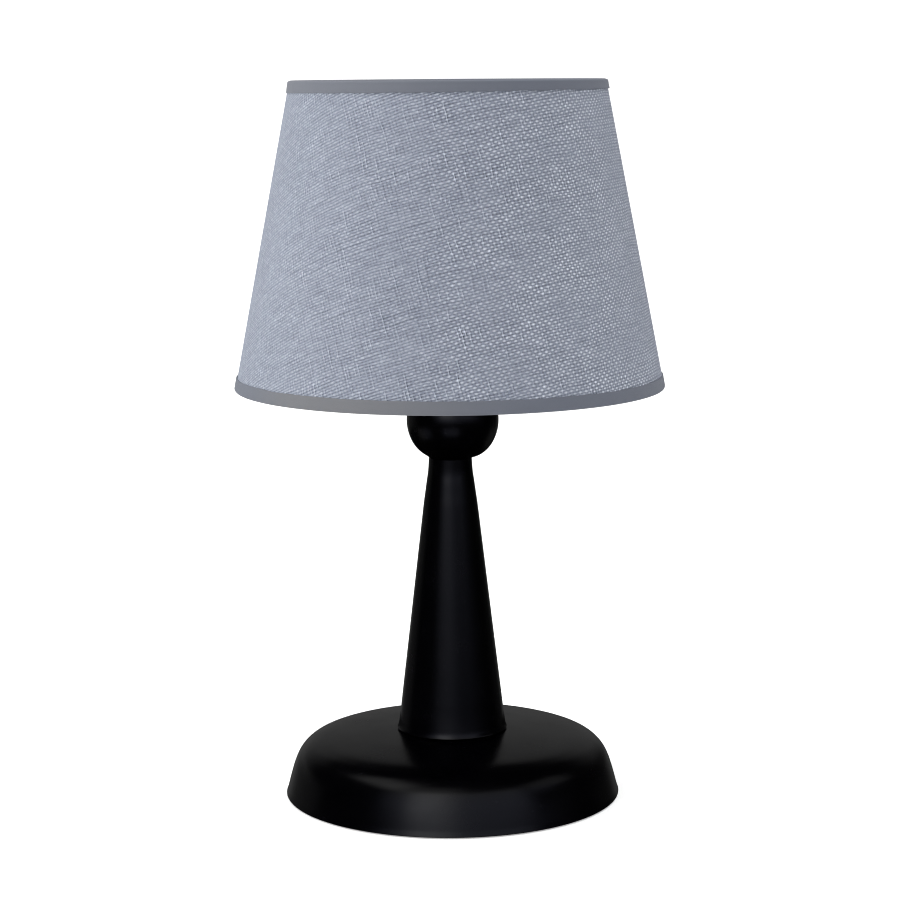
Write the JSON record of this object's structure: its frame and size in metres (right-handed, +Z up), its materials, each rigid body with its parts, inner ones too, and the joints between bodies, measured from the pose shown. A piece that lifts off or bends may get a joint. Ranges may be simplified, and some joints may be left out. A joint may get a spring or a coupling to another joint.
{
  "type": "table lamp",
  "caption": "Small table lamp with a turned black base, a conical column and a ball neck, a screw lampholder and a tapered fabric shade clamped by a collar.",
  "frame": {"origin": "centre of the underside, on the surface that the lamp stands on", "axes": "+Z up along the column; the cord outlet is at the back, towards +Y"},
  "size_m": [0.2002, 0.2002, 0.3352],
  "materials": {
    "black_lacquer": "satin black lacquer on turned wood",
    "felt": "pressed felt",
    "black_plastic": "satin moulded",
    "zinc_steel": "bright zinc plate",
    "steatite": "unglazed steatite",
    "brass": "bright stamped",
    "nickel_cap": "nickel plate, rolled thread",
    "black_glass": "fused glass insulator",
    "white_plastic": "satin moulded",
    "led_board": "white coated aluminium board",
    "opal": "frosted opal",
    "linen_weave": "coarse plain weave, blue-grey, laminated",
    "liner_film": "matt white laminate film",
    "white_wire": "white powder coat",
    "edge_tape": "folded grey bias tape"
  },
  "bodies": {
    "root": {"base_block": "black_lacquer", "felt_pad": "felt", "cord_bush": "black_plastic", "column": "black_lacquer", "ball_neck": "black_lacquer", "threaded_tube": "zinc_steel", "clamp_washer": "zinc_steel", "lock_washer": "zinc_steel", "clamp_nut": "zinc_steel", "holder_cap": "black_plastic", "lock_screw": "black_plastic", "holder_skirt": "black_plastic", "contact_block": "steatite", "terminal_screw_live": "brass", "terminal_screw_neutral": "brass", "shell_contact": "brass", "centre_contact": "brass"},
    "collar": {"shade_collar": "black_plastic"},
    "shade": {"shade_fabric": "linen_weave", "shade_liner": "liner_film", "top_wire_ring": "white_wire", "bottom_wire_ring": "white_wire", "top_edge_tape": "edge_tape", "bottom_edge_tape": "edge_tape", "shade_hub": "white_wire", "spoke_1": "white_wire", "spoke_2": "white_wire", "spoke_3": "white_wire"},
    "bulb_centre": {"bulb_tip": "brass", "bulb_insulator": "black_glass"},
    "bulb": {"bulb_screw_cap": "nickel_cap", "bulb_housing": "white_plastic", "led_board": "led_board", "bulb_diffuser": "opal"}
  },
  "joints": [
    {"name": "shade_swivel", "type": "hinge", "parent": "root", "child": "shade", "pos_m": [0, 0, 0.2241], "axis": [0, 0, 1], "continuous": true},
    {"name": "collar_turn", "type": "hinge", "parent": "root", "child": "collar", "pos_m": [0, 0, 0.2297], "axis": [0, 0, 1], "continuous": true},
    {"name": "bulb_lift", "type": "slide", "parent": "root", "child": "bulb_centre", "axis": [0, 0, 1], "range_m": [0, 0.01815]},
    {"name": "bulb_turn", "type": "hinge", "parent": "bulb_centre", "child": "bulb", "pos_m": [0, 0, 0.242], "axis": [0, 0, 1], "range_deg": [0, 1800]}
  ],
  "couplings": [
    {"joint": "bulb_lift", "follows": "bulb_turn", "m_per_rad": 0.0005775}
  ]
}
